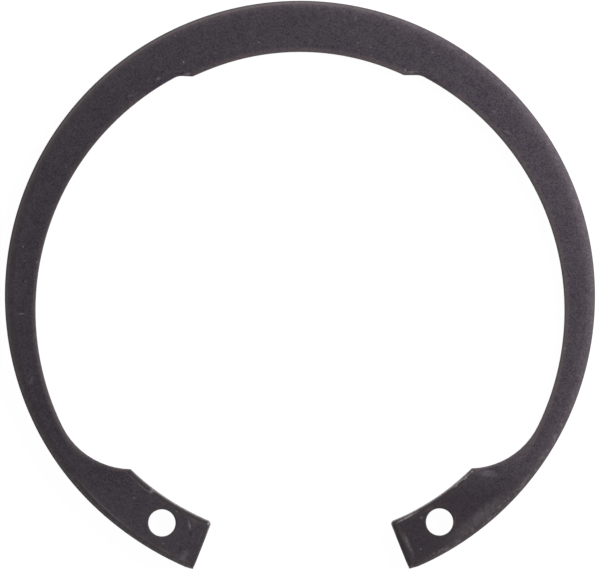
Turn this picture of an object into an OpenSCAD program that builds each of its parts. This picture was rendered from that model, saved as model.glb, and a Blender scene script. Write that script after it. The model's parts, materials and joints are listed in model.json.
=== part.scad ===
// Internal retaining ring for a 50 mm bore, blanked in one piece from spring steel sheet.
// It lies flat on z = 0 with the rounded edge of its rim up.
// The origin is the centre of the outer circle, +Y points to the back and the gap faces -Y.

/* [Ring] */
// Outer diameter of the free ring, before it is squeezed into its bore
ring_d = 54.2; // [53:0.1:56]
// Thickness of the spring steel sheet
sheet_t = 2; // [1.5:0.05:2.5]
// Radial width of the back, opposite the gap
back_w = 4.7; // [4.2:0.05:5.2]
// Half of the angle over which the back keeps its full width
back_angle = 25.4; // [20:0.2:30]

/* [Tapered arms] */
// Radial width of each arm at a quarter turn from the gap
side_w = 2.85; // [2.4:0.05:3.2]
// How far the centre of the arms' inner arc lies towards the gap
taper_shift = 1.35; // [0.8:0.05:1.8]
// Radius of the hollow where the step at the back runs into the inner arc
step_r = 1.5; // [0.8:0.1:2]

/* [Lugs] */
// Radial width of each lug
lug_w = 4.75; // [4.4:0.05:5.4]
// Angle from the middle of the gap to the corner where a lug starts
lug_tip_angle = 44.7; // [43:0.1:48]
// Radius of the hollow flank between an arm and its lug
flank_r = 7; // [4:0.1:9]
// Half of the angle of the gap between the lugs' end faces
gap_angle = 21.7; // [15:0.1:24]
// Radius on the inner corner of each end face
end_corner_r = 0.25; // [0.25:0.05:0.5]

/* [Plier holes] */
// Diameter of the hole in each lug
hole_d = 2.5; // [2:0.1:3]
// Distance from the rim to the middle of each hole
hole_rim_gap = 2.7; // [2.5:0.1:2.9]
// Angle from the middle of the gap to each hole
hole_angle = 31.5; // [30:0.1:34]

/* [Edges] */
// Width of the rounding that blanking draws into the rim's upper edge
roll_w = 0.9; // [0.3:0.05:1.2]
// Depth of that rounding
roll_h = 0.35; // [0.1:0.05:0.4]
// Radius on the upper edge of the inner outline and the end faces
edge_r = 0.15; // [0.05:0.05:0.2]
// Chamfer on the lower edge of the rim, the inner outline and the end faces
lower_break = 0.08; // [0.04:0.02:0.16]
// Chamfer on both edges of each plier hole
hole_break = 0.1; // [0.05:0.05:0.2]

/* [Hidden] */
$fn = 180;

// How far every cut runs past what it cuts, as a length and as an angle
over = 1;
lap = 8;
// How deep an arc cuts into the wall that it runs into, so that the two cross cleanly
bite = 0.003;
// Flat steps that make up the rim's rounding and the smaller edge radius
roll_steps = 8;
edge_steps = 4;

ring_r = ring_d / 2;
back_r = ring_r - back_w;
lug_r = ring_r - lug_w;
hole_r = hole_d / 2;

// The blank starts as a plain annulus, with an opening that lies inside all that is cut from it
core_r = min(back_r, lug_r) - over;

// The arms' inner arc is centred towards the gap and passes through the side width
taper_centre = [0, -taper_shift];
taper_r = norm([ring_r - side_w, taper_shift]);

// The flank arc runs into the inner arc from inside and ends at the lug's corner
lug_corner = lug_r * heading(lug_tip_angle - 90);
flank_reach = taper_r - flank_r + bite;
corner_reach = norm(lug_corner - taper_centre);
corner_direction = direction(lug_corner - taper_centre);
flank_direction = corner_direction + apex_angle(flank_reach, corner_reach, flank_r);
flank_centre = taper_centre + flank_reach * heading(flank_direction);

// The step lies square to the middle line, and its hollow runs into the inner arc from inside
step_x = back_r * sin(back_angle);
step_y = back_r * cos(back_angle);
hollow_reach = taper_r - step_r + bite;
hollow_direction = asin((step_y - step_r + bite + taper_shift) / hollow_reach);
hollow_centre = taper_centre + hollow_reach * heading(hollow_direction);

// The end corner's centre lies a radius inside both the end face and the lug's inner edge
end_direction = gap_angle - 90;
end_corner_depth = end_corner_r - bite;
end_corner_direction = end_direction + asin(end_corner_depth / (lug_r + end_corner_depth));
end_corner_centre = (lug_r + end_corner_depth) * heading(end_corner_direction);

function heading(a) = [cos(a), sin(a)];
function direction(v) = atan2(v[1], v[0]);

// Angle between the sides a and b of a triangle whose third side is c
function apex_angle(a, b, c) = acos((a * a + b * b - c * c) / (2 * a * b));

// Wall of a cut at distance w, chamfered below and rounded above, with metal beyond it
// on side 1 and before it on side -1
function cut_wall(w, side) = [
    [w + side * lower_break, -over],
    [w + side * lower_break, 0],
    [w, lower_break],
    for (i = [0:edge_steps])
        let (a = 90 * i / edge_steps)
        [w + side * edge_r * (1 - cos(a)), sheet_t - edge_r * (1 - sin(a))],
    [w + side * edge_r, sheet_t + over]
];

// Section of a cut that reaches from its wall at distance w to distance far
module cut_section(w, far) {
    side = w > far ? 1 : -1;
    polygon([[far, -over], each cut_wall(w, side), [far, sheet_t + over]]);
}

// Cut with its wall on an arc of radius r, between two directions seen from the arc's centre
module arc_cut(centre, r, far, from, to) {
    translate(centre)
        rotate_extrude(angle = to - from, start = from)
            cut_section(r, far);
}

// Round cut of radius r
module disc_cut(centre, r) {
    translate(centre)
        rotate_extrude()
            cut_section(r, 0);
}

// Cut with a straight wall that faces the direction facing and runs clockwise from start
module straight_cut(start, facing, length, depth) {
    translate(start)
        rotate([90, 0, facing])
            linear_extrude(height = length)
                cut_section(0, -depth);
}

// Annulus with the rim's section: drawn in above, chamfered below
module blank() {
    rotate_extrude()
        polygon([
            [core_r, 0],
            [ring_r - lower_break, 0],
            [ring_r, lower_break],
            for (i = [0:roll_steps])
                let (a = 90 * i / roll_steps)
                [ring_r - roll_w * (1 - cos(a)), sheet_t - roll_h * (1 - sin(a))],
            [core_r, sheet_t]
        ]);
}

// Inner edge of the back in the upper half and of the lugs in the lower half
module concentric_cuts() {
    arc_cut([0, 0], back_r, core_r - over, -lap, 180 + lap);
    arc_cut([0, 0], lug_r, core_r - over, 180 - lap, 360 + lap);
}

// Inner arc of the right arm, from the flank at the lug to the step at the back
module arm_cuts() {
    arc_cut(taper_centre, taper_r, core_r - taper_shift - over, flank_direction, hollow_direction);
    straight_cut([step_x - over, step_y], 90, hollow_centre[0] - step_x + over, back_w);
    disc_cut(flank_centre, flank_r);
    disc_cut(hollow_centre, step_r);
}

// End face of the right lug, from inside the ring to outside, and its rounded inner corner
module end_cuts() {
    straight_cut((core_r - over) * heading(end_direction), gap_angle,
                 ring_r - core_r + 2 * over, (ring_r + over) * sin(gap_angle));
    arc_cut(end_corner_centre, end_corner_r, 2 * end_corner_r + edge_r,
            end_corner_direction - 180, gap_angle - 180);
}

// Plier hole of the right lug, chamfered at both faces
module plier_hole() {
    translate((ring_r - hole_rim_gap) * heading(hole_angle - 90))
        rotate_extrude()
            polygon([
                [0, -over],
                [hole_r + hole_break, -over],
                [hole_r + hole_break, 0],
                [hole_r, hole_break],
                [hole_r, sheet_t - hole_break],
                [hole_r + hole_break, sheet_t],
                [hole_r + hole_break, sheet_t + over],
                [0, sheet_t + over]
            ]);
}

// Everything that is cut from the right half of the blank
module half_cuts() {
    arm_cuts();
    end_cuts();
    plier_hole();
}

module retaining_ring() {
    color("#46404a")
        difference() {
            blank();
            concentric_cuts();
            half_cuts();
            mirror([1, 0, 0]) half_cuts();
        }
}

retaining_ring();
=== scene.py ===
# %% [markdown]
# # A circlip for a bore
# An internal circlip is a flat spring, blanked in one stroke from a strip of spring steel. It is squeezed
# with pliers, dropped into a bore and let go into a groove. This lesson models the ring as one mesh, gives
# it the finish of phosphated and oiled steel, and photographs it from straight above.
#
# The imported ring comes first. It fixes where everything lies, and the new piece is built around it.

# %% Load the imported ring
import json
import math

import bpy
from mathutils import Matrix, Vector


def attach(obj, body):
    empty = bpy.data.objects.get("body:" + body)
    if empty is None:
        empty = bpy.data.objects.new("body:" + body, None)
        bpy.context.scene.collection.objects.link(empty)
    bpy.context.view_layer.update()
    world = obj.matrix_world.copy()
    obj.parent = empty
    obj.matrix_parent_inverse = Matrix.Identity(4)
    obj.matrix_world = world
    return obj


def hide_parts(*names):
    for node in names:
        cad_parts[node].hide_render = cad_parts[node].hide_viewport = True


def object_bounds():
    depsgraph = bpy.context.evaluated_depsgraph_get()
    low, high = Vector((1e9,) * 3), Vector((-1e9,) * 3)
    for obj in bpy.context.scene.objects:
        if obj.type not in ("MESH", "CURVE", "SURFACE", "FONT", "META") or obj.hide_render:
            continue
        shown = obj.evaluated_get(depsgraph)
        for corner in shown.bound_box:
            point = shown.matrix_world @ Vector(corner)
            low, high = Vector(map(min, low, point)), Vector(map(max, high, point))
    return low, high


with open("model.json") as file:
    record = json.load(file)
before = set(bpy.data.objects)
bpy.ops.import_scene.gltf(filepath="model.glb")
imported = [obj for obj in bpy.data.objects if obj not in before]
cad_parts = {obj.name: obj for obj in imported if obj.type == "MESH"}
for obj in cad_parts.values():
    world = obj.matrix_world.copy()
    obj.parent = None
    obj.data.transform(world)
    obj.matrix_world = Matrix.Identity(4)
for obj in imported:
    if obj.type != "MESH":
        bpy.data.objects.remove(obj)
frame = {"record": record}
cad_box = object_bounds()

print("packed ring, lowest and highest corner in mm:",
      [[round(1000 * value, 2) for value in corner] for corner in cad_box])

# %% [markdown]
# ## Sizes
# Small parts are modelled here with one unit for one millimetre, because some of Blender's tools work to
# fixed tolerances that suit objects of a metre or so. The finished mesh is scaled down to metres.
#
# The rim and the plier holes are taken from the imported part's mounts, and the thickness from its box. The
# other sizes are those of the inner outline: a back and two lugs on arcs about the middle, arms on an arc
# whose centre lies towards the gap, a small hollow at each step and a large one at each lug.

# %% Sizes of the ring in millimetres
MM = 0.001

mounts = {mount["name"]: mount for mount in frame["record"]["mounts"]}
ring_r = mounts["groove_rim"]["dims"]["r_mm"]
hole_r = mounts["plier_hole_right"]["dims"]["r_mm"]
hole_at = Vector(mounts["plier_hole_right"]["pos_m"][:2]) / MM
sheet_t = (cad_box[1][2] - cad_box[0][2]) / MM

back_w = 4.7
back_angle = 25.4
side_w = 2.85
taper_shift = 1.35
step_r = 1.5
lug_w = 4.75
lug_tip_angle = 44.7
flank_r = 7
gap_angle = 21.7

back_r = ring_r - back_w
side_r = ring_r - side_w
lug_r = ring_r - lug_w

print("ring", 2 * ring_r, "mm across,", round(sheet_t, 2), "mm thick, holes", 2 * hole_r, "mm")

# %% [markdown]
# ## The outline
# The ring is mirrored about the line from the gap to the back, so half of its outline is enough. Every
# stretch of it is an arc or a straight line. An arc is drawn as on paper, with a point that is swung about
# a centre: a small plane is merged to one vertex, and Spin leaves a chain of edges behind it. Spin turns
# clockwise about +Z for a positive angle. A curve object would do too, but a chain of edges can be filled
# and extruded where it is.

# %% Tools to draw with
def point_at(angle, radius, centre=(0, 0)):
    """Point at an angle in degrees, counted from +X, on a circle."""
    turn = math.radians(angle)
    return Vector((centre[0] + radius * math.cos(turn), centre[1] + radius * math.sin(turn), 0))


def put_vertex(place):
    """Adds one selected vertex to the mesh that is being edited."""
    bpy.ops.mesh.select_all(action="DESELECT")
    bpy.ops.mesh.primitive_plane_add(size=0.5, location=place)
    bpy.ops.mesh.merge(type="CENTER")


def draw_arc(centre, radius, start, end, edge=0.8):
    """Draws an arc from one angle to another, in edges of about the given length."""
    steps = max(3, round(abs(math.radians(end - start)) * radius / edge))
    put_vertex(point_at(start, radius, centre))
    bpy.ops.mesh.spin(steps=steps, angle=math.radians(start - end), center=(*centre, 0), axis=(0, 0, 1))


def draw_line(start, end, edge=0.8):
    """Draws a straight line in edges of about the given length."""
    steps = max(1, round((end - start).length / edge))
    put_vertex(start)
    for _ in range(steps):
        bpy.ops.mesh.extrude_region_move(TRANSFORM_OT_translate={"value": (end - start) / steps})


def start_piece(name):
    """Adds an empty mesh object and opens it in edit mode."""
    if bpy.context.object and bpy.context.object.mode == "EDIT":
        bpy.ops.object.mode_set(mode="OBJECT")
    bpy.ops.object.select_all(action="DESELECT")
    bpy.ops.mesh.primitive_plane_add(size=1, location=(0, 0, 0))
    piece = bpy.context.object
    piece.name = piece.data.name = name
    bpy.ops.object.mode_set(mode="EDIT")
    bpy.ops.mesh.delete(type="VERT")
    return piece


def apply_modifier(piece, kind, **settings):
    """Adds a modifier to a piece and applies it."""
    modifier = piece.modifiers.new(kind.title(), kind)
    for name, value in settings.items():
        setattr(modifier, name, value)
    bpy.ops.object.mode_set(mode="OBJECT")
    bpy.context.view_layer.objects.active = piece
    bpy.ops.object.modifier_apply(modifier=modifier.name)


# %% [markdown]
# The centres of the two hollows follow from where their arcs have to touch the arm's arc. The large one
# also has to pass through the lug's corner, which a triangle of three known sides gives.

# %% Where the arcs meet
taper_centre = Vector((0, -taper_shift))
taper_r = math.hypot(side_r, taper_shift)

lug_corner = point_at(lug_tip_angle - 90, lug_r).xy
corner_line = lug_corner - taper_centre
flank_reach = taper_r - flank_r
corner_turn = math.acos((flank_reach ** 2 + corner_line.length_squared - flank_r ** 2)
                        / (2 * flank_reach * corner_line.length))
flank_angle = math.degrees(math.atan2(corner_line.y, corner_line.x) + corner_turn)
flank_centre = point_at(flank_angle, flank_reach, taper_centre).xy
flank_line = lug_corner - flank_centre
flank_end = math.degrees(math.atan2(flank_line.y, flank_line.x))

step_corner = point_at(90 - back_angle, back_r)
step_reach = taper_r - step_r
step_angle = math.degrees(math.asin((step_corner.y - step_r + taper_shift) / step_reach))
step_centre = point_at(step_angle, step_reach, taper_centre).xy
step_foot = point_at(90, step_r, step_centre)

print("arm arc from", round(flank_angle, 1), "to", round(step_angle, 1), "degrees, radius", round(taper_r, 2))

# %% Draw the right half of the outline
ring = start_piece("circlip")
origin = (0, 0)
end_angle = gap_angle - 90
draw_arc(origin, ring_r, 90, end_angle)
draw_line(point_at(end_angle, ring_r), point_at(end_angle, lug_r))
draw_arc(origin, lug_r, end_angle, lug_tip_angle - 90)
draw_arc(flank_centre, flank_r, flank_end, flank_angle, edge=0.7)
draw_arc(taper_centre, taper_r, flank_angle, step_angle)
draw_arc(step_centre, step_r, step_angle, 90, edge=0.15)
draw_line(step_foot, step_corner)
draw_arc(origin, back_r, 90 - back_angle, 90)
bpy.ops.mesh.select_all(action="SELECT")
bpy.ops.mesh.remove_doubles(threshold=0.02)
apply_modifier(ring, "MIRROR", merge_threshold=0.02)
print("outline:", len(ring.data.vertices), "vertices,", len(ring.data.edges), "edges")

# %% [markdown]
# ## The uneven left lug
# On the photographed ring the left lug sits about 0.15 mm further in than the right one, while its hole
# is in the right place. Its end is moved before the hole is punched, with proportional editing, which
# lets the arm follow less and less. Before that, both end faces are moved a little to the left.
#
# What is moved is selected by its place. Places that lie nearer than close to each other count as one.

# %% Tools to select with
close = 0.05


def edit(piece):
    """Opens a piece in edit mode with nothing selected."""
    bpy.context.view_layer.objects.active = piece
    bpy.ops.object.mode_set(mode="EDIT")
    bpy.ops.mesh.select_all(action="DESELECT")


def select_vertices(piece, wanted):
    """Selects in edit mode the vertices for whose place the test is true, and returns how many."""
    bpy.ops.object.mode_set(mode="OBJECT")
    for vertex in piece.data.vertices:
        vertex.select = wanted(vertex.co)
    for group in (piece.data.edges, piece.data.polygons):
        for item in group:
            item.select = all(piece.data.vertices[i].select for i in item.vertices)
    bpy.ops.object.mode_set(mode="EDIT")
    return sum(vertex.select for vertex in piece.data.vertices)


def end_distance(spot):
    """How far a place lies from the nearer end face, along the ring."""
    turn = math.radians(gap_angle)
    return abs(spot.x) * math.cos(turn) + spot.y * math.sin(turn)


def move_softly(shift, reach, falloff="SMOOTH"):
    """Moves what is selected, and what lies within reach of it less and less."""
    bpy.ops.transform.translate(value=shift, use_proportional_edit=True, proportional_size=reach,
                                proportional_edit_falloff=falloff)


# %% Move the end faces and the left lug
end_shift = Vector((-0.06, 0, 0))
end_reach = 1.5
lug_shift = Vector((0.155, 0.03, 0))
lug_reach = 14
lug_end_x = -14
lug_end_y = -18.5

edit(ring)
bpy.ops.mesh.select_mode(type="VERT")
select_vertices(ring, lambda spot: spot.y < 0 and end_distance(spot) < close)
move_softly(end_shift, end_reach)
moved = select_vertices(ring, lambda spot: lug_end_x < spot.x < 0 and spot.y < lug_end_y)
move_softly(lug_shift, lug_reach)
print("moved with the lug's end:", moved, "vertices")

# %% [markdown]
# The left step's corner also lies a little further out than the right one's.

# %% Move the left step's corner
corner_shift = Vector((-0.19, -0.06, 0))
corner_reach = 0.9

left_corner = Vector((-step_corner.x, step_corner.y, 0))
moved = select_vertices(ring, lambda spot: (spot - left_corner).length < close)
move_softly(corner_shift, corner_reach)
print("moved with the step's corner:", moved, "vertices")

# %% [markdown]
# ## The blank
# The closed outline is filled with one face and extruded to the sheet's thickness. Four straight cuts
# through the middle divide its long curved faces, since faces of many corners are drawn badly. Two of the
# cuts pass through the plier holes. Vertices that a cut leaves close to others are merged with them.

# %% Fill and extrude the outline
bpy.ops.mesh.select_all(action="SELECT")
bpy.ops.mesh.edge_face_add()
bpy.ops.mesh.extrude_region_move(TRANSFORM_OT_translate={"value": (0, 0, sheet_t)})
hole_lines = [Vector((side * hole_at.x, hole_at.y, 0)) for side in (1, -1)]
for line in hole_lines + [Vector((1, 0, 0)), Vector((0, 1, 0))]:
    bpy.ops.mesh.select_all(action="SELECT")
    bpy.ops.mesh.bisect(plane_co=(0, 0, 0), plane_no=line.cross(Vector((0, 0, 1))))
bpy.ops.mesh.select_all(action="SELECT")
bpy.ops.mesh.remove_doubles(threshold=0.05)
bpy.ops.mesh.normals_make_consistent(inside=False)
bpy.ops.object.mode_set(mode="OBJECT")
print("blank:", len(ring.data.polygons), "faces")

# %% [markdown]
# Each cylinder is turned so that the cut crosses the middle of one of its sides.

# %% Punch the plier holes
hole_sides = 64
for line in hole_lines:
    bpy.ops.object.select_all(action="DESELECT")
    bpy.ops.mesh.primitive_cylinder_add(vertices=hole_sides, radius=hole_r, depth=3 * sheet_t, location=line,
                                        rotation=(0, 0, math.atan2(-line.x, line.y) + math.pi / hole_sides))
    punch = bpy.context.object
    apply_modifier(ring, "BOOLEAN", object=punch, operation="DIFFERENCE", solver="EXACT")
    bpy.data.objects.remove(punch)
edit(ring)
bpy.ops.mesh.select_all(action="SELECT")
bpy.ops.mesh.remove_doubles(threshold=0.01)
print("punched:", len(ring.data.polygons), "faces")

# %% [markdown]
# ## The sheared walls
# Blanking leaves its marks on the walls. Where the sheet was first pressed into the die, its edge is drawn
# in. Below that the wall is burnished by the tool, and the lowest part broke away and slopes in a little.
# A cut across the walls marks the line where the break starts, and the lower face is then drawn in.

# %% Break zone of the walls
break_height = 0.75
break_draw = 0.05

bpy.ops.mesh.select_mode(type="VERT")
bpy.ops.mesh.select_all(action="SELECT")
bpy.ops.mesh.bisect(plane_co=(0, 0, break_height), plane_no=(0, 0, 1))
drawn = select_vertices(ring, lambda spot: spot.z < close)
bpy.ops.transform.shrink_fatten(value=-break_draw * math.sqrt(2))
bpy.ops.transform.resize(value=(1, 1, 0), center_override=(0, 0, 0))
print("vertices drawn in:", drawn)

# %% [markdown]
# ## The edges
# The punch draws every upper edge in before it shears the steel: most at the rim, half as much at the end
# faces and very little round the plier holes. The tool sat a little off centre, so the inner edge is drawn
# in well at the lugs and on the right, and hardly at the left half of the back. A Bevel modifier reads each
# edge's width from a weight, which is what Mean Bevel Weight in the sidebar sets by hand. The width may
# only change a little from one edge to the next, or the faces behind them fold over. Bevel cuts as deep as
# it is wide, so afterwards all new vertices at the top are squeezed towards the upper face.
#
# An edge belongs to the rim, a hole or an end face that lies nearer than near to it. For the end faces
# that is an angle in degrees.

# %% Weigh the edges and bevel them
widest = 0.9
rim_w = 0.9
end_w = 0.45
left_w = 0.14
hole_w = 0.16
lower_w = 0.08
corner_w = 0.15
end_corner_w = 0.3
roll_squeeze = 0.4
rim_widening = 45
inner_fade_x = (-6, 12)
inner_fade_y = (14, -12)
near = 0.3


def smooth_step(low, high, value):
    """Rises smoothly from 0 at low to 1 at high."""
    share = min(1, max(0, (value - low) / (high - low)))
    return share * share * (3 - 2 * share)


def inner_width(middle):
    """Width of the drawn-in inner edge: it fades towards the left half of the back."""
    share = max(smooth_step(*inner_fade_x, middle.x), smooth_step(*inner_fade_y, middle.y))
    return left_w + (end_w - left_w) * share


def edge_width(a, b):
    """How wide the edge from a to b is taken off, in millimetres."""
    middle = (a + b) / 2
    from_gap = math.degrees(math.atan2(abs(middle.x), -middle.y))
    at_rim = middle.xy.length > ring_r - near
    at_end = from_gap < gap_angle + near
    if abs(a.z - b.z) > close:
        return 0 if at_rim else end_corner_w if at_end else corner_w
    if middle.z < close:
        return lower_w
    if (Vector((abs(middle.x), middle.y)) - hole_at).length < hole_r + near:
        return hole_w
    if at_rim:
        return end_w + (rim_w - end_w) * smooth_step(gap_angle, gap_angle + rim_widening, from_gap)
    if at_end:
        return end_w
    return inner_width(middle)


bpy.ops.mesh.select_mode(type="EDGE")
bpy.ops.mesh.select_all(action="DESELECT")
bpy.ops.mesh.edges_select_sharp(sharpness=math.radians(50))
bpy.ops.object.mode_set(mode="OBJECT")
weights = ring.data.attributes.new("bevel_weight_edge", "FLOAT", "EDGE")
for edge in ring.data.edges:
    if edge.select:
        ends = [ring.data.vertices[i].co for i in edge.vertices]
        weights.data[edge.index].value = edge_width(*ends) / widest
apply_modifier(ring, "BEVEL", width=widest, segments=8, profile=0.42, limit_method="WEIGHT",
               use_clamp_overlap=False)
edit(ring)
bpy.ops.mesh.select_mode(type="VERT")
rolled = select_vertices(ring, lambda spot: spot.z > sheet_t - widest - close)
bpy.ops.transform.resize(value=(1, 1, roll_squeeze), center_override=(0, 0, sheet_t))
print("bevelled:", len(ring.data.polygons), "faces,", rolled, "vertices squeezed")

# %% [markdown]
# The outer corner of each end is rubbed off a little. No bevel is needed for that: the corner is pushed in,
# and proportional editing takes what lies round it along.

# %% Rub the outer corners off
rub_shift = Vector((0, 0.1, 0))
rub_reach = 0.5
rubbed_w = 0.12
top_left_out = 0.1

lowest = min(vertex.co.y for vertex in ring.data.vertices)
rubbed = select_vertices(ring, lambda spot: spot.y < lowest + rubbed_w and spot.z < sheet_t - top_left_out)
move_softly(rub_shift, rub_reach, falloff="SHARP")
bpy.ops.object.mode_set(mode="OBJECT")
print("vertices at the outer corners:", rubbed)

# %% [markdown]
# The mesh is now brought to metres and its normals are set. Weighted Normal leaves the flat faces flat and
# lets only the bevels turn the light, as the real edges do.

# %% Bring the ring to metres and set its normals
bpy.ops.object.select_all(action="DESELECT")
ring.select_set(True)
ring.scale = (MM, MM, MM)
bpy.ops.object.transform_apply(location=False, rotation=False, scale=True)
bpy.ops.object.shade_smooth()
apply_modifier(ring, "WEIGHTED_NORMAL", keep_sharp=True, weight=100)

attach(ring, "root")
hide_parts("retaining_ring")
triangles = sum(len(face.vertices) - 2 for face in ring.data.polygons)
print("ring:", len(ring.data.vertices), "vertices,", triangles, "triangles")

# %% [markdown]
# ## Phosphated and oiled spring steel
# The ring was dipped in hot phosphate until a thin layer of dark crystals had grown on it, and then oiled.
# That gives a matt grey-black with a faint purple cast, a fine grain, cloudy patches where the layer is
# thicker, and a weak sheen from the oil. Edges that rubbed against other rings are a little paler, and some
# tints below also paint highlights and shade onto the edges.
#
# The finish is built up as a painter would, one tint over the other. Each tint has some shares between 0
# and 1 that say where it shows. A share comes from a Map Range node, which rises as a distance or a noise
# goes from one value to another. The two values may also run downwards.

# %% Tools for materials
def hex_colour(text):
    """Linear colour of an sRGB hex value such as #403940."""
    channels = [int(text[i:i + 2], 16) / 255 for i in (1, 3, 5)]
    return [c / 12.92 if c <= 0.04045 else ((c + 0.055) / 1.055) ** 2.4 for c in channels] + [1]


def add_node(tree, kind, inputs=(), **settings):
    """Adds a node. Settings go on the node, and its inputs are given in order or by name or number.

    An input takes a value, a socket that feeds it, or a node whose first output feeds it.
    """
    node = tree.nodes.new("ShaderNode" + kind)
    for name, value in settings.items():
        setattr(node, name, value)
    for name, value in inputs.items() if isinstance(inputs, dict) else enumerate(inputs):
        if isinstance(value, bpy.types.Node):
            value = value.outputs[0]
        if isinstance(value, bpy.types.NodeSocket):
            tree.links.new(value, node.inputs[name])
        else:
            node.inputs[name].default_value = value
    return node


def new_material(name):
    """Adds a material with an empty node tree."""
    material = bpy.data.materials.new(name)
    material.use_nodes = True
    material.node_tree.nodes.clear()
    return material, material.node_tree


# %% Place on the ring, in millimetres
steel, tree = new_material("phosphated_spring_steel")
place = add_node(tree, "TexCoord")
mm_place = add_node(tree, "VectorMath", (place.outputs["Object"], (1 / MM,) * 3), operation="MULTIPLY")
place_x, place_y, place_z = add_node(tree, "SeparateXYZ", (mm_place,)).outputs
flat_place = add_node(tree, "VectorMath", (mm_place, (1, 1, 0)), operation="MULTIPLY")
radius = add_node(tree, "VectorMath", (flat_place,), operation="LENGTH").outputs["Value"]
inside_rim = add_node(tree, "Math", (ring_r, radius), operation="SUBTRACT")
slope = add_node(tree, "SeparateXYZ", (place.outputs["Normal"],)).outputs["Z"]


def far_from(spot):
    """Distance from a place on the ring to a spot, seen from above."""
    return add_node(tree, "VectorMath", (flat_place, spot), operation="DISTANCE").outputs["Value"]


# %% Shares and tints
def join(operation, values):
    """Joins several values to one, two at a time."""
    joined = values[0]
    for value in values[1:]:
        joined = add_node(tree, "Math", (joined, value), operation=operation)
    return joined


def together(*shares):
    """What all the shares have in common: their product."""
    return join("MULTIPLY", shares)


def strongest(*shares):
    """The largest of the shares at each place."""
    return join("MAXIMUM", shares)


def tint(colour, tint_colour, *shares):
    """Lays a colour over another one, where all the shares say so."""
    mix = add_node(tree, "Mix", {"Factor": together(*shares), 6: colour, 7: hex_colour(tint_colour)},
                   data_type="RGBA")
    return mix.outputs[2]


# %% [markdown]
# The crystals are 10 to 30 micrometres across, too fine to show in a picture of the whole ring, so the
# grain is drawn at 0.17 mm. Coarser noises stand for blotches and for the cloudy thickness of the layer.
# Each is given by its size in millimetres, its detail and its roughness. The tone is the sum of the three,
# each with its own part in it.

# %% Crystal layer
grain, blotch, cloud = [
    add_node(tree, "TexNoise", {"Vector": mm_place, "Scale": 1 / size, "Detail": detail, "Roughness": rough})
    for size, detail, rough in ((0.17, 1, 0.5), (0.7, 2, 0.6), (3.5, 3, 0.55))]
tones = [add_node(tree, "MapRange", (noise, 0.3, 0.7, 0, part))
         for noise, part in ((grain, 0.64), (blotch, 0.22), (cloud, 0.14))]
layer = tint(hex_colour("#271f2d"), "#4e484d", join("ADD", tones))
print("crystal layer:", len(tree.nodes), "nodes so far")

# %% [markdown]
# The layer is paler and browner towards the rim, more so on the right, and in a narrow line along the inner
# edge: partly a paler tint where the ring was handled, partly a painted highlight where these edges slope
# away.
# How far a place lies from that edge is measured from the back's circle or from the arms' arc, whichever
# forms the edge there. At the steps neither does, so the line fades out.

# %% Paler borders, partly painted highlight
left_to_right = (-4, 14)
right_share = add_node(tree, "MapRange", (place_x, *left_to_right))
wide_tint_and_highlight = together(add_node(tree, "MapRange", (inside_rim, 1.8, 0.6)),
                       add_node(tree, "MapRange", (place_x, *left_to_right, 0.05, 0.07)))
narrow_tint_and_highlight = together(add_node(tree, "MapRange", (inside_rim, 0.9, 0.4)),
                         add_node(tree, "MapRange", (place_x, *left_to_right, 0.16, 0.07)))
# Painted highlight: the pale tint towards the rim stands partly for light on the rolled edge.
layer = tint(layer, "#7d7474", strongest(wide_tint_and_highlight, narrow_tint_and_highlight))

# %% Pale line along the inner edge, partly painted highlight
step_fade = 0.3
below_step = (19.3, 18.3)
lug_to_arm = (-16, -13)

from_middle = add_node(tree, "Math", (place_x,), operation="ABSOLUTE")
at_back = together(add_node(tree, "MapRange", (from_middle, step_corner.x + step_fade, step_corner.x)),
                   add_node(tree, "MapRange", (place_y, 0, 1)))
from_arm = add_node(tree, "Math", (far_from(taper_centre.to_3d()), taper_r), operation="SUBTRACT")
from_back = add_node(tree, "Math", (radius, back_r), operation="SUBTRACT")
from_inside = add_node(tree, "Mix", {"Factor": at_back, 2: from_arm, 3: from_back}, data_type="FLOAT")
off_steps = strongest(at_back, add_node(tree, "MapRange", (place_y, *below_step)))
off_lugs = add_node(tree, "MapRange", (place_y, *lug_to_arm))
inner_tint_and_highlight = add_node(tree, "MapRange", (from_inside, 0.5, 0.2))
strength = add_node(tree, "MapRange", (place_x, *left_to_right, 0.15, 0.3))
# Painted highlight: the pale line along the inner edge stands partly for light on its slope.
layer = tint(layer, "#827672", inner_tint_and_highlight, off_steps, off_lugs, strength)
print("with its pale borders:", len(tree.nodes), "nodes")

# %% [markdown]
# The oil dried browner along the lugs' edges and round the plier holes, where it ran together. The line
# where a lug starts to slope down is painted pale, a painted highlight, and the slope outside it is painted
# darker, a painted shade. These follow from the distance to the nearest edge of the lug, which is measured
# on one lug and mirrored. The right lug is a little darker all over than the left one.

# %% Distance to the nearest edge of a lug
def nearest(*distances):
    """The smallest of the distances at each place."""
    return join("MINIMUM", distances)


right_to_left_lug = (-6, -7)
arm_to_lug = (-15, -18)
left_share = add_node(tree, "MapRange", (place_x, *right_to_left_lug))
lug_share = add_node(tree, "MapRange", (place_y, *arm_to_lug))
shift = add_node(tree, "VectorMath", {0: lug_shift, 3: left_share}, operation="SCALE")
lug_place = add_node(tree, "VectorMath", (flat_place, shift), operation="SUBTRACT")
lug_x, lug_y, _ = add_node(tree, "SeparateXYZ", (lug_place,)).outputs
lug_radius = add_node(tree, "VectorMath", (lug_place,), operation="LENGTH").outputs["Value"]
end_x, end_y, _ = point_at(gap_angle, 1)

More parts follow.
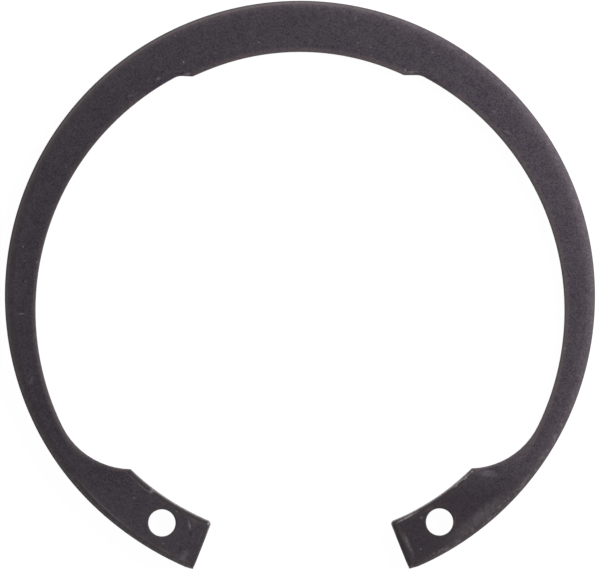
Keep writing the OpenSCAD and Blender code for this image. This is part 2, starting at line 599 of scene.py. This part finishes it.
from_rim = add_node(tree, "Math", (ring_r, lug_radius), operation="SUBTRACT")
from_inner = add_node(tree, "Math", (lug_radius, lug_r), operation="SUBTRACT")
lug_side = add_node(tree, "Math", (lug_x,), operation="ABSOLUTE")
from_end = join("ADD", [together(lug_side, end_x), together(lug_y, end_y)])
inset = nearest(from_rim, from_inner, from_end)
from_hole = join("SUBTRACT", [nearest(*[far_from(line) for line in hole_lines]), hole_r])
print("with the distances on the lugs:", len(tree.nodes), "nodes")

# %% Patches and strips
def patches(size, low, high, least, most, detail=3, where=mm_place):
    """Share between least and most that varies in patches of about the given size in millimetres."""
    noise = add_node(tree, "TexNoise", {"Vector": where, "Scale": 1 / size, "Detail": detail,
                                        "Roughness": 0.55})
    return add_node(tree, "MapRange", (noise, low, high, least, most))


def strip(distance, start, full, fading, gone):
    """Share of a strip that starts at one distance, is full between two and gone at the last."""
    rising = add_node(tree, "MapRange", (distance, start, full))
    falling = add_node(tree, "MapRange", (distance, gone, fading))
    return together(rising, falling)


# %% Brown borders, painted shade on the slopes and painted highlight lines on the lugs
near_edge = add_node(tree, "MapRange", (nearest(inset, from_hole), 1, 0.3))
brown_border = together(near_edge, lug_share, patches(1.2, 0.35, 0.6, 0.2, 1), 0.6)
brown_spots = patches(2.1, 0.6, 0.75, 0, 0.4)
layer = tint(layer, "#474140", strongest(brown_border, brown_spots))

lug_face = add_node(tree, "MapRange", (place_y, -16, -18.5))
right_only = add_node(tree, "MapRange", (place_x, *right_to_left_lug, 0.5, 0))
left_only = add_node(tree, "MapRange", (place_x, *right_to_left_lug, 0, 0.04))
layer = tint(layer, "#282125", lug_face, right_only)
layer = tint(layer, "#8d8590", lug_face, left_only)

# Painted shade: the slope at a lug's inner edge and end is painted darker, most at the left lug.
slope_shade = add_node(tree, "MapRange", (nearest(from_inner, from_end), 0.45, 0.35))
more_at_left = add_node(tree, "MapRange", (place_x, *right_to_left_lug, 0.1, 0.5))
layer = tint(layer, "#2a2426", slope_shade, lug_share, more_at_left)
# Painted highlight: a pale line where a lug starts to slope down, mostly at the left lug.
ridge_highlight = strip(inset, 0.42, 0.5, 0.54, 0.62)
mostly_left = add_node(tree, "MapRange", (place_x, *right_to_left_lug, 0.15, 1))
layer = tint(layer, "#7d767a", ridge_highlight, lug_share, mostly_left, patches(1.5, 0.4, 0.6, 0, 0.5))
print("with the lugs' tints:", len(tree.nodes), "nodes")

# %% [markdown]
# ## Worn edges and painted edge highlights
# Where the ring slopes away at an edge it rubbed against its neighbours in the drum. There the layer is
# thin and paler, and the paler tint is also a painted highlight on these slopes. Both are strongest along the
# rim, where the tint is also mottled and keeps a thin pale line, a painted highlight on the rolled edge, and
# the rim gets less of them at the right and at the back. On the lugs the steepest part of the inner edge is
# bare and shiny.

# %% Where the ring slopes, and how much wear and painted highlight it gets
steepness = add_node(tree, "Math", (slope,), operation="ABSOLUTE")
at_edge = add_node(tree, "MapRange", (steepness, 0.97, 0.86))
top_side = together(add_node(tree, "MapRange", (slope, 0.3, 0.6)),
                    add_node(tree, "MapRange", (place_z, sheet_t - 0.45, sheet_t - 0.35)))

at_rim = together(add_node(tree, "MapRange", (inside_rim, 1.4, 0.6)),
                  add_node(tree, "MapRange", (together(lug_share, left_share), 0, 1, 1, 0.6)),
                  add_node(tree, "MapRange", (right_share, 0.3, 1, 1, 0.65)))
elsewhere = add_node(tree, "MapRange", (place_x, *left_to_right, 0.3, 0.6))
right_rim = together(right_share, add_node(tree, "MapRange", (place_y, -20, -16)))
back_rim = add_node(tree, "MapRange", (place_y, 20, 25))
less_at_right_and_back = together(strongest(right_rim, back_rim), add_node(tree, "MapRange", (inside_rim, 1.1, 0.8)))
wear_and_highlight = together(at_edge, strongest(at_rim, elsewhere), patches(0.9, 0.35, 0.65, 0.5, 1),
                add_node(tree, "MapRange", (less_at_right_and_back, 0, 1, 1, 0.35)))
# Painted highlight: the paler tint on the slopes is partly wear and partly light on the edges.
worn_and_lit = tint(layer, "#615659", wear_and_highlight)

# %% Bare inner edge of the lugs, and the painted highlights of the mottled rim and its pale line
steep = add_node(tree, "MapRange", (slope, 0.92, 0.7))
inner_side = add_node(tree, "MapRange", (from_inner, 1.5, 1))
bare = together(steep, top_side, inner_side, lug_share, patches(0.6, 0.3, 0.6, 0.5, 1))
worn_and_lit = tint(worn_and_lit, "#b5aeae", bare)

mottles = patches(0.4, 0.5, 0.65, 0, 0.25, detail=2)
towards_lugs = add_node(tree, "MapRange", (place_y, -5, -15, 0.35, 1))
# Painted highlight: the mottled pale band along the rim.
worn_and_lit = tint(worn_and_lit, "#948a8c", mottles, strip(inside_rim, 0.6, 0.45, 0.2, 0.1), top_side, towards_lugs)

left_and_back = add_node(tree, "MapRange", (place_x, *left_to_right, 0.18, 0))
# Painted highlight: a thin pale line on the rolled rim, at the left and the back.
worn_and_lit = tint(worn_and_lit, "#b3a3a8", strip(inside_rim, 0.36, 0.26, 0.16, 0.08), top_side, left_and_back)
print("with its wear:", len(tree.nodes), "nodes")

# %% [markdown]
# On the walls the tool left upright streaks in the burnished part, and the break zone below is rough and
# holds more of the dark layer. Noise that is stretched along Z gives the streaks.

# %% Sheared walls
break_blur = 0.05

wall = add_node(tree, "MapRange", (steepness, 0.5, 0.2))
burnished = add_node(tree, "MapRange", (place_z, break_height - break_blur, break_height + break_blur))
broken = add_node(tree, "Math", (1, burnished), operation="SUBTRACT")
upright = add_node(tree, "VectorMath", (mm_place, (1, 1, 0.1)), operation="MULTIPLY")
streaks = patches(0.3, 0.4, 0.65, 0, 0.45, detail=2, where=upright)
worn_and_lit = tint(worn_and_lit, "#7a7377", wall, burnished, streaks)
worn_and_lit = tint(worn_and_lit, "#211c21", wall, broken, 0.45)
print("with its walls:", len(tree.nodes), "nodes")

# %% [markdown]
# A few grains of the layer caught the light. A Voronoi texture scatters them: a speck is the middle of a
# cell, and the cell's random colour decides whether it has one.

# %% Pale specks
speck_spacing = 1.4
cells = add_node(tree, "TexVoronoi", {"Vector": mm_place, "Scale": 1 / speck_spacing})
cell_middle = add_node(tree, "MapRange", (cells.outputs["Distance"], 0.07, 0.03))
cell_red = add_node(tree, "SeparateColor", (cells.outputs["Color"],))
chosen = add_node(tree, "MapRange", (cell_red, 0.6, 0.9))
worn_and_lit = tint(worn_and_lit, "#8f878c", cell_middle, chosen, 0.6)
print("with its specks:", len(tree.nodes), "nodes")

# %% [markdown]
# ## Marks of handling, painted glints and painted dent shade
# These marks are particular to this ring, so each is listed: its middle, its length and width in
# millimetres, its turn in degrees and its strength. Broken up by noise, they read as scuffs and not as dots.

# %% Scuffs and painted glints, stains and painted dent shade
# Some of the pale marks are painted glints: the bright dot at the inner corner of the left lug's end, and the
# pale lines and spots along the right lug's inner edge up to its tip.
scuffs_and_glints = [
    (-13.6, -17.8, 0.8, 0.6, 40, 0.5), (-15.3, -18.5, 0.3, 0.3, 0, 0.35),
    (-10.2, -21.0, 1.1, 0.3, 100, 0.4), (-12.6, -22.7, 0.3, 0.3, 0, 0.35),
    (-11.4, -19.8, 0.2, 0.2, 0, 0.35), (-10.7, -23.8, 1.3, 0.8, 60, 0.2), (-8.5, -20.9, 0.3, 0.3, 0, 0.9),
    (9.7, -20.4, 2.8, 0.2, 27, 0.7), (14.7, -17.0, 2.8, 0.2, 37, 0.6), (15.75, -16.2, 0.2, 0.2, 0, 0.9),
    (15.1, -16.8, 0.6, 0.25, 40, 0.8), (14.2, -17.5, 0.6, 0.25, 35, 0.7),
    (17.1, -16.35, 2.4, 0.8, -8, 0.18), (16.4, -20.4, 8.0, 1.5, 39, 0.14),
    (13.3, -23.3, 3.2, 0.5, 29, 0.14), (11.1, -20.4, 0.4, 0.3, 0, 0.3), (9.9, -22.9, 2.8, 0.4, -67, 0.25),
    (17.2, -16.2, 1.1, 0.2, 5, 0.35), (-10.3, 20.4, 0.8, 0.3, 5, 0.3), (-10.6, 21.5, 0.2, 0.2, 0, 0.6),
    (-12.9, 20.0, 0.6, 0.3, 20, 0.3), (-15.3, 18.5, 1.2, 0.3, 20, 0.15), (-21.4, 11.9, 0.2, 0.2, 0, 0.55),
    (-3.7, 23.3, 0.2, 0.4, 60, 0.3), (5.4, 23.2, 0.2, 0.2, 0, 0.2), (6.6, 22.8, 0.2, 0.2, 0, 0.25),
    (5.2, 25.5, 0.2, 0.6, 0, 0.2), (9.1, 24.6, 0.2, 0.2, 0, 0.4), (10.3, 20.5, 1.4, 0.3, 5, 0.3),
    (19.0, 15.0, 1.2, 0.2, -25, 0.15), (17.9, 16.8, 0.8, 0.3, -30, 0.14), (-25.4, 4.6, 0.2, 0.2, 0, 0.45),
    (-25.2, 1.4, 0.2, 0.2, 0, 0.45), (-25.55, -1.56, 0.6, 0.12, 0, 0.5), (-24.1, 3.2, 0.3, 0.25, 0, 0.4),
    (-24.7, -7.7, 1.0, 0.2, 70, 0.3), (24.3, -4.9, 0.2, 0.2, 0, 0.4),
]
stains = [
    (-9.8, -20.7, 0.5, 0.9, 0, 0.6), (-15.4, 17.8, 0.5, 0.4, 0, 0.5), (13.3, 19.4, 0.6, 0.4, -20, 0.5),
    (13.2, -17.6, 0.7, 0.5, 30, 0.4), (11.8, -19.6, 0.9, 0.5, 30, 0.4), (14.15, -20.8, 1.3, 0.25, 85, 0.4),
    (9.25, -22.0, 2.4, 0.25, -68, 0.35), (-16.7, -15.95, 2.0, 0.2, -5, 0.5),
    (-5.8, 21.8, 5.5, 0.3, 10, 0.4), (-10.0, 20.4, 1.3, 0.4, 5, 0.4),
]
# Painted shade: each dent is a dark spot that stands for the shade in a small hollow, which the mesh does not
# have.
dent_shades = [
    (-10.1, -21.8, 0.5, 0.5, 0, 0.7), (-11.0, -23.2, 0.4, 0.6, 0, 0.5), (11.2, -23.4, 0.6, 0.5, 0, 0.4),
    (-11.0, 21.3, 0.6, 0.5, 0, 0.3),
]

# %% Lay the marks on
broken_up = patches(0.3, 0.35, 0.6, 0.35, 1, detail=2)


def mark_share(x, y, length, width, turn, strength):
    """Share of one elliptical mark with a soft border."""
    inside = add_node(tree, "Mapping", {"Vector": flat_place, "Location": (x, y, 0),
                                        "Rotation": (0, 0, math.radians(turn)),
                                        "Scale": (length / 2, width / 2, 1)}, vector_type="TEXTURE")
    away = add_node(tree, "VectorMath", (inside,), operation="LENGTH").outputs["Value"]
    return add_node(tree, "MapRange", (away, 1.1, 0.3, 0, strength))


for marks, mark_colour in ((stains, "#63504d"), (dent_shades, "#1d171f"), (scuffs_and_glints, "#a79fa2")):
    inside_marks = strongest(*[mark_share(*mark) for mark in marks])
    worn_and_lit = tint(worn_and_lit, mark_colour, inside_marks, broken_up, top_side)
    print(len(marks), "marks of colour", mark_colour)

# %% Shader of the phosphated steel
height = join("ADD", [grain, together(blotch, 1.5)])
bump = add_node(tree, "Bump", {"Height": height, "Strength": 0.6, "Distance": 0.02 * MM})
shine = strongest(together(wear_and_highlight, 0.12), bare)
shader = add_node(tree, "BsdfPrincipled",
                  {"Base Color": worn_and_lit, "Roughness": add_node(tree, "MapRange", (shine, 0, 1, 0.5, 0.3)),
                   "Metallic": add_node(tree, "MapRange", (shine, 0, 1, 0, 0.7)), "Specular IOR Level": 0.35,
                   "Normal": bump})
add_node(tree, "OutputMaterial", {"Surface": shader})
ring.data.materials.append(steel)
print("material", steel.name, "has", len(tree.nodes), "nodes")

# %% [markdown]
# ## The table, the light and the camera
# The ring lies on a white table that is evenly lit, so only a faint shadow is left round it. The table
# glows white for the camera and for what reflects it, and is plain white paint for the light. A soft lamp
# stands close by at the back right, which makes that side of the ring brighter than the other. The table lies
# a hair below the ring, since two faces in one plane would show through each other.

# %% White table
table_size = 6
table_glow = 0.98
table_gap = 0.01 * MM
white = (1, 1, 1, 1)
bpy.ops.object.select_all(action="DESELECT")
bpy.ops.mesh.primitive_plane_add(size=table_size, location=(0, 0, -table_gap))
table = bpy.context.object
table.name = "table"
paint, tree = new_material("white_table")
rays = add_node(tree, "LightPath").outputs
seen = strongest(rays["Is Camera Ray"], rays["Is Glossy Ray"], rays["Is Transmission Ray"])
matt = add_node(tree, "BsdfDiffuse", {"Color": hex_colour("#f4f4f4")})
glow = add_node(tree, "Emission", {"Color": white, "Strength": table_glow})
dimmed = add_node(tree, "BsdfDiffuse", {"Color": hex_colour("#5a5a5a")})
lit = add_node(tree, "AddShader", (dimmed, glow))
surface = add_node(tree, "MixShader", (seen, matt, lit))
add_node(tree, "OutputMaterial", {"Surface": surface})
table.data.materials.append(paint)
print("table", table_size, "m wide,", table_gap / MM, "mm below the ring")

# %% [markdown]
# The room is white all round, and brighter at the back right, where its window is. Overhead, where the
# camera hangs, its reflection is darker, so the ring's flat face stays dark while each edge that slopes
# away reflects the bright walls.

# %% White room
room_level = 0.1
ceiling_level = 0.3
window_heading = 27
window_level = 1.4
far_wall_level = 0.8
world = bpy.data.worlds.new("white_room")
bpy.context.scene.world = world
world.use_nodes = True
tree = world.node_tree
tree.nodes.clear()
direction = add_node(tree, "TexCoord").outputs["Generated"]
up = add_node(tree, "SeparateXYZ", (direction,)).outputs["Z"]
window_side = add_node(tree, "VectorMath", (direction, point_at(window_heading, 1)),
                       operation="DOT_PRODUCT").outputs["Value"]
walls = together(add_node(tree, "MapRange", (up, 0.5, 0.97, 1, ceiling_level)),
                 add_node(tree, "MapRange", (window_side, -1, 1, far_wall_level, window_level)))
rays = add_node(tree, "LightPath").outputs
level = add_node(tree, "MapRange", (rays["Is Glossy Ray"], 0, 1, room_level, walls))
level = strongest(level, rays["Is Camera Ray"], rays["Is Transmission Ray"])
room = add_node(tree, "Background", {"Color": white, "Strength": level})
add_node(tree, "OutputWorld", {"Surface": room})
print("room:", len(tree.nodes), "nodes")

# %% Soft lamp at the window
lamp_reach = 0.105
lamp_height = 0.08
lamp_size = 0.08
lamp_power = 0.24
lamp_at = point_at(window_heading, lamp_reach) + Vector((0, 0, lamp_height))
bpy.ops.object.light_add(type="AREA", location=lamp_at)
lamp = bpy.context.object
lamp.name = "soft_lamp"
lamp.data.size = lamp_size
lamp.data.energy = lamp_power
lamp.rotation_euler = (-lamp_at).to_track_quat("-Z", "Y").to_euler()
lamp.visible_camera = False
lamp.visible_glossy = False
print("lamp", lamp_size, "m wide at", [round(value, 3) for value in lamp_at])

# %% Camera straight above
view_w = 55.07 * MM
view_centre = Vector((0.006, 1.044, 2.0)) * MM
view_turn = -0.19
camera_height = 1.2
bpy.ops.object.camera_add(location=view_centre + Vector((0, 0, camera_height)),
                          rotation=(0, 0, math.radians(view_turn)))
camera = bpy.context.object
camera.name = "camera_above"
camera.data.sensor_width = 36
camera.data.lens = camera.data.sensor_width * camera_height / view_w
camera.data.clip_end = 20
bpy.context.scene.camera = camera
bpy.context.scene.view_settings.view_transform = "Standard"
print("lens", round(camera.data.lens), "mm")
